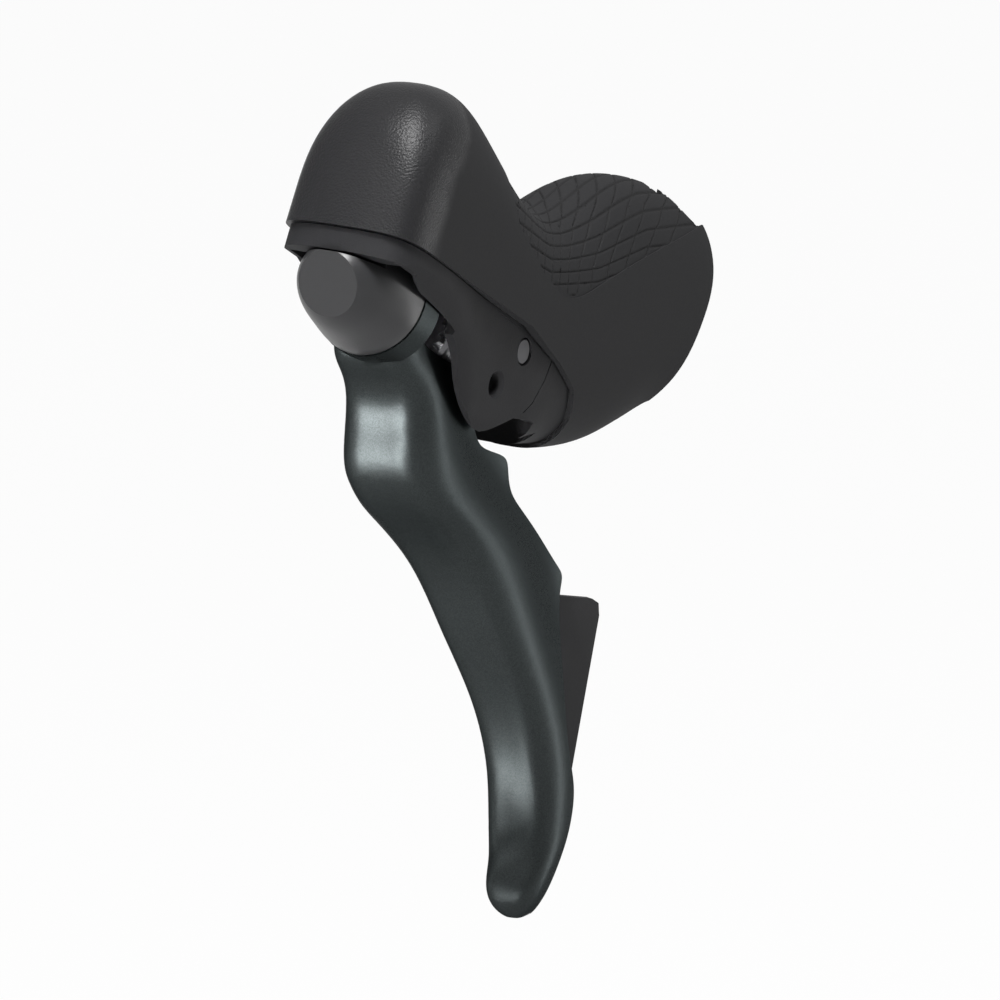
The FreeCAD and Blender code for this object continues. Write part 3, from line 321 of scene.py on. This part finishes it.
# Side, forward and up of each point of a mesh, in metres from the brake pivot along the tilted hood.
def lever_places(mesh):
    flat = np.empty(len(mesh.vertices) * 3)
    mesh.vertices.foreach_get("co", flat)
    side, rear, high = flat.reshape(-1, 3).T
    forward = high * math.sin(tilt) - rear * math.cos(tilt) - pivot_forward
    up = high * math.cos(tilt) + rear * math.sin(tilt) + pivot_down
    return side, forward, up


def ease(value, start, end):
    share = np.clip((value - start) / (end - start), 0.0, 1.0)
    return share * share * (3.0 - 2.0 * share)


def keep_numbers(mesh, name, values):
    layer = mesh.attributes.new(name, "FLOAT", "POINT")
    layer.data.foreach_set("value", np.asarray(values, dtype=np.float32))


# Lower edge of the grip field, the saddle's top line, and the middle that points go round: each is
# a row of forward and up.
grip_edge = np.array([
    (-0.0720, 0.0546), (-0.0625, 0.0489), (-0.0391, 0.0348), (-0.0204, 0.0216), (-0.0111, 0.0158),
    (-0.0044, 0.0149), (0.0034, 0.0161), (0.0121, 0.0197), (0.0180, 0.0220), (0.0203, 0.0255),
    (0.0240, 0.0330), (0.0250, 0.0600),
])
top_line = np.array([
    (-0.071, 0.0575), (-0.054, 0.055), (-0.038, 0.0514), (-0.020, 0.0415), (0.0, 0.031),
    (0.020, 0.0344), (0.050, 0.040),
])
middle_line = np.array([(-0.071, 0.030), (-0.038, 0.022), (-0.020, 0.014), (0.0, 0.009), (0.050, 0.010)])
saddle_radius = 0.0165


# How far inside the grip field a point is, its places along the saddle and round it, and the
# middle's height there.
def grip_places(mesh, border):
    side, forward, up = lever_places(mesh)
    limit = np.interp(forward, grip_edge[:, 0], grip_edge[:, 1])
    share = ease(up - limit, 0.0, border)
    steps = np.hypot(np.diff(top_line[:, 0]), np.diff(top_line[:, 1]))
    along = np.interp(forward, top_line[:, 0], np.concatenate(([0.0], np.cumsum(steps))))
    heart = np.interp(forward, middle_line[:, 0], middle_line[:, 1])
    return share, along, saddle_radius * np.arctan2(side, up - heart), heart


# Long grooves run along the saddle, slightly askew. Cross grooves lean back over it and stand
# closer together in the valley than at the rear. A groove runs where its count is a whole number.
long_pitch = 0.0026
long_skew = 0.085
saddle_length = 0.13
cross_pitch = np.array([(0.043, 0.0085), (0.066, 0.0046), (0.075, 0.0042)])
cross_lean = np.array([
    (-0.016, 7.0), (-0.003, 4.4), (0.0015, 2.9), (0.005, 1.9), (0.0071, 1.2), (0.0093, 0.8),
    (0.0104, 0.55), (0.0129, 0.2), (0.015, 0.0),
])


def groove_counts(along, around):
    pitch_at = np.linspace(0.0, saddle_length, 261)
    pitch = np.interp(pitch_at, cross_pitch[:, 0], cross_pitch[:, 1])
    pads_passed = np.concatenate(([0.0], np.cumsum(np.diff(pitch_at) / pitch[1:])))
    lean = np.interp(around, cross_lean[:, 0], cross_lean[:, 1])
    long_count = (around - long_skew * along) / long_pitch
    return long_count, np.interp(along, pitch_at, pads_passed) + lean


# The field gets finer faces on its outer side near the grooves, so that they are cut in the mesh
# itself. The shares are of a groove's pitch, and the border is how wide the field's edge is.
long_share = 0.13
cross_share = 0.07
split_border = 0.001
split_reach = 1.9
field_edge = 0.0009
groove_edge = 0.00042
rounds = 7


def splitting_places(mesh):
    share, along, around, heart = grip_places(mesh, split_border)
    side, forward, up = lever_places(mesh)
    normals = np.array([vertex.normal for vertex in mesh.vertices])
    normal_up = normals[:, 2] * math.cos(tilt) + normals[:, 1] * math.sin(tilt)
    outward = (normals[:, 0] * side + normal_up * (up - heart)) / np.hypot(side, up - heart)
    long_count, cross_count = groove_counts(along, around)
    from_long = np.abs(long_count - np.round(long_count)) / long_share
    from_cross = np.abs(cross_count - np.round(cross_count)) / cross_share
    inside = (share > 0.01) & (outward > 0.2)
    return inside, inside & (np.minimum(from_long, from_cross) < split_reach)


hood = clean_copy("hood")
shade_smooth(hood, sharp_degrees=28)
coarse = hood.data
faces = [list(face.vertices) for face in coarse.polygons]
places = np.array([vertex.co for vertex in coarse.vertices])
corner_normals = np.array([corner.vector for corner in coarse.corner_normals]).reshape(-1, 3, 3)
fine_hood = coarse.copy()
for splitting in range(rounds):
    inside, by_groove = splitting_places(fine_hood)
    shell = bmesh.new()
    shell.from_mesh(fine_hood)
    long_edges = []
    for edge in shell.edges:
        ends = [vertex.index for vertex in edge.verts]
        longest = groove_edge if by_groove[ends].any() else field_edge
        if inside[ends].any() and edge.calc_length() > longest:
            long_edges.append(edge)
    if long_edges:
        bmesh.ops.subdivide_edges(shell, edges=long_edges, cuts=1)
        bmesh.ops.triangulate(shell, faces=[face for face in shell.faces if len(face.verts) > 3])
    shell.to_mesh(fine_hood)
    shell.free()

# Each new point is lifted from its flat face onto the round surface that the face's corner normals
# give. Its shares of the three corners are solved with a row that makes them sum to one.
highest_lift = 0.00025
roundness = 0.75
sum_weight = 0.001
flat_shape = BVHTree.FromPolygons([Vector(spot) for spot in places], faces)
for vertex in fine_hood.vertices[len(places):]:
    index = flat_shape.find_nearest(vertex.co)[2]
    ends = places[faces[index]]
    spot = np.array(vertex.co)
    known = np.vstack((ends.T, np.ones(3) * sum_weight))
    shares = np.linalg.lstsq(known, np.append(spot, sum_weight), rcond=None)[0]
    heights = np.einsum("ij,ij->i", spot - ends, corner_normals[index])
    lift = -roundness * (np.clip(shares, 0.0, 1.0) * heights) @ corner_normals[index]
    if np.linalg.norm(lift) < highest_lift:
        vertex.co = Vector(spot + lift)
hood.data = fine_hood

# What the mesh keeps for the grooves and the rubber: counts of grooves, the field, and where the
# head's grain begins.
groove_border = 0.0006
groove_depth = 0.0003
grain_fade = 0.0015
grain_line = np.array([(0.004, 0.0518), (0.0206, 0.0508), (0.0316, 0.0449)])
share, along, around = grip_places(hood.data, groove_border)[:3]
forward, up = lever_places(hood.data)[1:]
long_count, cross_count = groove_counts(along, around)
grain_limit = np.interp(up, grain_line[:, 0], grain_line[:, 1])
keep_numbers(hood.data, "long_grooves", long_count)
keep_numbers(hood.data, "cross_grooves", cross_count)
keep_numbers(hood.data, "grip", share)
keep_numbers(hood.data, "grain", ease(forward - grain_limit, -grain_fade, grain_fade))

grip_tree = bpy.data.node_groups.new("grip_grooves", "GeometryNodeTree")
grip_tree.interface.new_socket("Geometry", in_out="INPUT", socket_type="NodeSocketGeometry")
sockets = {}
for name, kind in (("Long groove share", "Float"), ("Cross groove share", "Float"), ("Depth", "Float"),
                   ("Rubber", "Material")):
    sockets[name] = grip_tree.interface.new_socket(name, in_out="INPUT", socket_type="NodeSocket" + kind)
grip_tree.interface.new_socket("Geometry", in_out="OUTPUT", socket_type="NodeSocketGeometry")
grip_in = place(grip_tree, "NodeGroupInput")
grip_out = place(grip_tree, "NodeGroupOutput")
cuts = []
for name, width in (("long_grooves", "Long groove share"), ("cross_grooves", "Cross groove share")):
    count = place(grip_tree, "GeometryNodeInputNamedAttribute", data_type="FLOAT", Name=name)
    wave = place(grip_tree, "ShaderNodeMath", operation="PINGPONG")
    wave.inputs[1].default_value = 0.5
    cut = spread_between(grip_tree, 1.0, 0.0)
    cut.interpolation_type = "SMOOTHSTEP"
    grip_tree.links.new(count.outputs["Attribute"], wave.inputs[0])
    grip_tree.links.new(wave.outputs[0], cut.inputs["Value"])
    grip_tree.links.new(grip_in.outputs[width], cut.inputs["From Max"])
    cuts.append(cut)
either = place(grip_tree, "ShaderNodeMath", operation="MAXIMUM")
field = place(grip_tree, "GeometryNodeInputNamedAttribute", data_type="FLOAT", Name="grip")
groove = place(grip_tree, "ShaderNodeMath", operation="MULTIPLY")
# The groove share is also kept on the points as 'groove', which the rubber uses to paint shade into its
# colour in the grooves.
marked = place(grip_tree, "GeometryNodeStoreNamedAttribute", data_type="FLOAT", domain="POINT",
               Name="groove")
sunken = place(grip_tree, "ShaderNodeMath", operation="MULTIPLY")
inward = place(grip_tree, "ShaderNodeMath", operation="MULTIPLY")
inward.inputs[1].default_value = -1.0
facing = place(grip_tree, "GeometryNodeInputNormal")
push = place(grip_tree, "ShaderNodeVectorMath", operation="SCALE")
moved = place(grip_tree, "GeometryNodeSetPosition")
real = place(grip_tree, "GeometryNodeRealizeInstances")
coated = place(grip_tree, "GeometryNodeSetMaterial")
grip_tree.links.new(cuts[0].outputs["Result"], either.inputs[0])
grip_tree.links.new(cuts[1].outputs["Result"], either.inputs[1])
grip_tree.links.new(either.outputs[0], groove.inputs[0])
grip_tree.links.new(field.outputs["Attribute"], groove.inputs[1])
grip_tree.links.new(grip_in.outputs["Geometry"], marked.inputs["Geometry"])
grip_tree.links.new(groove.outputs[0], marked.inputs["Value"])
grip_tree.links.new(groove.outputs[0], sunken.inputs[0])
grip_tree.links.new(grip_in.outputs["Depth"], sunken.inputs[1])
grip_tree.links.new(sunken.outputs[0], inward.inputs[0])
grip_tree.links.new(facing.outputs["Normal"], push.inputs[0])
grip_tree.links.new(inward.outputs[0], push.inputs["Scale"])
grip_tree.links.new(marked.outputs["Geometry"], moved.inputs["Geometry"])
grip_tree.links.new(push.outputs["Vector"], moved.inputs["Offset"])
grip_tree.links.new(moved.outputs["Geometry"], real.inputs["Geometry"])
grip_tree.links.new(real.outputs["Geometry"], coated.inputs["Geometry"])
grip_tree.links.new(grip_in.outputs["Rubber"], coated.inputs["Material"])
grip_tree.links.new(coated.outputs["Geometry"], grip_out.inputs["Geometry"])

rubber = new_finish("hood_rubber", specular=0.13)
grain, shade, gloss, bump = textured(
    rubber, moulded_grain, {"Pebble": 2200.0}, ((0.008, 0.008, 0.0085), (0.015, 0.015, 0.016)),
    polish=(0.32, 0.42), depth=0.00013, strength=0.5)
tree = rubber.node_tree
shader = tree.nodes["Principled BSDF"]
leather = place(tree, "ShaderNodeAttribute", attribute_name="grain")
grain_depth = spread_between(tree, 0.12, 1.0)
carved = place(tree, "ShaderNodeMath", operation="MULTIPLY")
# Painted shade: where 'groove' marks a groove, the rubber's colour is darkened to near black, standing in
# for the shade that falls into the grooves.
groove_shade_mask = place(tree, "ShaderNodeAttribute", attribute_name="groove")
groove_painted_shade = place(tree, "ShaderNodeMix", data_type="RGBA")
groove_painted_shade.inputs["B"].default_value = (0.008, 0.008, 0.0083, 1.0)
matte = place(tree, "ShaderNodeMix", data_type="FLOAT")
matte.inputs["A"].default_value = 0.76
tree.links.new(leather.outputs["Fac"], matte.inputs["Factor"])
tree.links.new(gloss.outputs["Result"], matte.inputs["B"])
tree.links.new(matte.outputs["Result"], shader.inputs["Roughness"])
tree.links.new(leather.outputs["Fac"], grain_depth.inputs["Value"])
tree.links.new(grain.outputs["Height"], carved.inputs[0])
tree.links.new(grain_depth.outputs["Result"], carved.inputs[1])
tree.links.new(carved.outputs[0], bump.inputs["Height"])
tree.links.new(groove_shade_mask.outputs["Fac"], groove_painted_shade.inputs["Factor"])
tree.links.new(shade.outputs["Result"], groove_painted_shade.inputs["A"])
tree.links.new(groove_painted_shade.outputs["Result"], shader.inputs["Base Color"])

grooves = hood.modifiers.new("grooves", "NODES")
grooves.node_group = grip_tree
for name, value in (("Long groove share", long_share), ("Cross groove share", cross_share),
                    ("Depth", groove_depth), ("Rubber", rubber)):
    grooves[sockets[name].identifier] = value
carved_hood = bpy.data.meshes.new_from_object(hood.evaluated_get(bpy.context.evaluated_depsgraph_get()))
hood.modifiers.clear()
hood.data = carved_hood
shade_smooth(hood, sharp_degrees=50)
stand_for(hood, "hood", "bracket")

# Camera: it stands at the height of the photograph's and looks at the lever's outer side from the
# front. The long lens keeps the lever's proportions nearly flat.
azimuth = math.radians(29.6)
elevation = math.radians(18.1)
distance = 1.1
target = Vector((0.0, -0.0572, -0.0298))
back = Vector((
    math.sin(azimuth) * math.cos(elevation), -math.cos(azimuth) * math.cos(elevation), math.sin(elevation)
))
camera = bpy.data.objects.new("camera", bpy.data.cameras.new("camera"))
camera.data.sensor_width = 36.0
camera.data.lens = 185.3
camera.data.clip_end = 50.0
camera.location = target + distance * back
camera.rotation_euler = back.to_track_quat("Z", "Y").to_euler()
bpy.context.scene.collection.objects.link(camera)
bpy.context.scene.camera = camera


# Floor: a wide pale sheet some way below the lever. It is nearly white to the camera and to
# reflections, and takes light like matte paper.
def seen_by_eye(tree):
    rays = place(tree, "ShaderNodeLightPath")
    seen = place(tree, "ShaderNodeMath", operation="ADD")
    seen_through = place(tree, "ShaderNodeMath", operation="ADD", use_clamp=True)
    tree.links.new(rays.outputs["Is Camera Ray"], seen.inputs[0])
    tree.links.new(rays.outputs["Is Glossy Ray"], seen.inputs[1])
    tree.links.new(seen.outputs[0], seen_through.inputs[0])
    tree.links.new(rays.outputs["Is Transmission Ray"], seen_through.inputs[1])
    return seen_through.outputs[0]


reach = 6.0
drop = 0.25
low = cad_box[0][2] - drop
corners = [(-reach, -reach, low), (reach, -reach, low), (reach, reach, low), (-reach, reach, low)]
floor_mesh = bpy.data.meshes.new("floor")
floor_mesh.from_pydata(corners, [], [(0, 1, 2, 3)])
floor = bpy.data.objects.new("floor", floor_mesh)
bpy.context.scene.collection.objects.link(floor)
pale = new_finish("floor_white")
tree = pale.node_tree
shader = tree.nodes["Principled BSDF"]
shader.inputs["Base Color"].default_value = (0.9, 0.9, 0.9, 1.0)
shader.inputs["Roughness"].default_value = 0.9
glow = place(tree, "ShaderNodeEmission", Strength=1.0)
white_share = place(tree, "ShaderNodeMath", operation="MULTIPLY")
white_share.inputs[1].default_value = 0.96
blend = place(tree, "ShaderNodeMixShader")
tree.links.new(seen_by_eye(tree), white_share.inputs[0])
tree.links.new(white_share.outputs[0], blend.inputs["Fac"])
tree.links.new(shader.outputs[0], blend.inputs[1])
tree.links.new(glow.outputs[0], blend.inputs[2])
tree.links.new(blend.outputs[0], tree.nodes["Material Output"].inputs["Surface"])
floor.data.materials.append(pale)

# Studio light: a dim sky that looks paler than it shines, and six soft boxes. The strongest hangs
# overhead, and a narrow beam from ahead lights only the flat of the blade's neck.
world = bpy.data.worlds.new("studio")
bpy.context.scene.world = world
world.use_nodes = True
tree = world.node_tree
sky = tree.nodes["Background"]
sky.inputs["Color"].default_value = (1.0, 1.0, 1.0, 1.0)
paleness = spread_between(tree, 0.05, 0.5)
tree.links.new(seen_by_eye(tree), paleness.inputs["Value"])
tree.links.new(paleness.outputs["Result"], sky.inputs["Strength"])


def soft_box(name, place_at, aim, width, height, power, spread=180.0):
    lamp = bpy.data.lights.new(name, "AREA")
    lamp.shape = "RECTANGLE"
    lamp.size = width
    lamp.size_y = height
    lamp.energy = power
    lamp.spread = math.radians(spread)
    box = bpy.data.objects.new(name, lamp)
    box.location = place_at
    box.rotation_euler = (Vector(place_at) - Vector(aim)).to_track_quat("Z", "Y").to_euler()
    bpy.context.scene.collection.objects.link(box)


soft_box("panel", (0.041, -0.390, -0.075), (0.0, -0.115, 0.010), 0.12, 0.21, power=0.11, spread=24.0)
soft_box("crest", (0.415, 0.32, -0.175), (0.0, -0.095, -0.02), 0.05, 0.4, power=0.9)
soft_box("top", (0.143, -0.20, 0.72), (0.0, -0.09, 0.04), 0.22, 0.22, power=12.0)
soft_box("upper_left", (-0.11, -0.55, 0.52), (0.0, -0.09, 0.03), 0.3, 0.3, power=0.9)
soft_box("front_left", (-0.30, -0.61, -0.05), (0.0, -0.095, 0.0), 0.2, 0.3, power=0.3)
soft_box("back_top", (0.38, 0.22, 0.50), (0.0, -0.05, 0.03), 0.25, 0.25, power=1.0)

bpy.context.scene.view_settings.view_transform = "Standard"
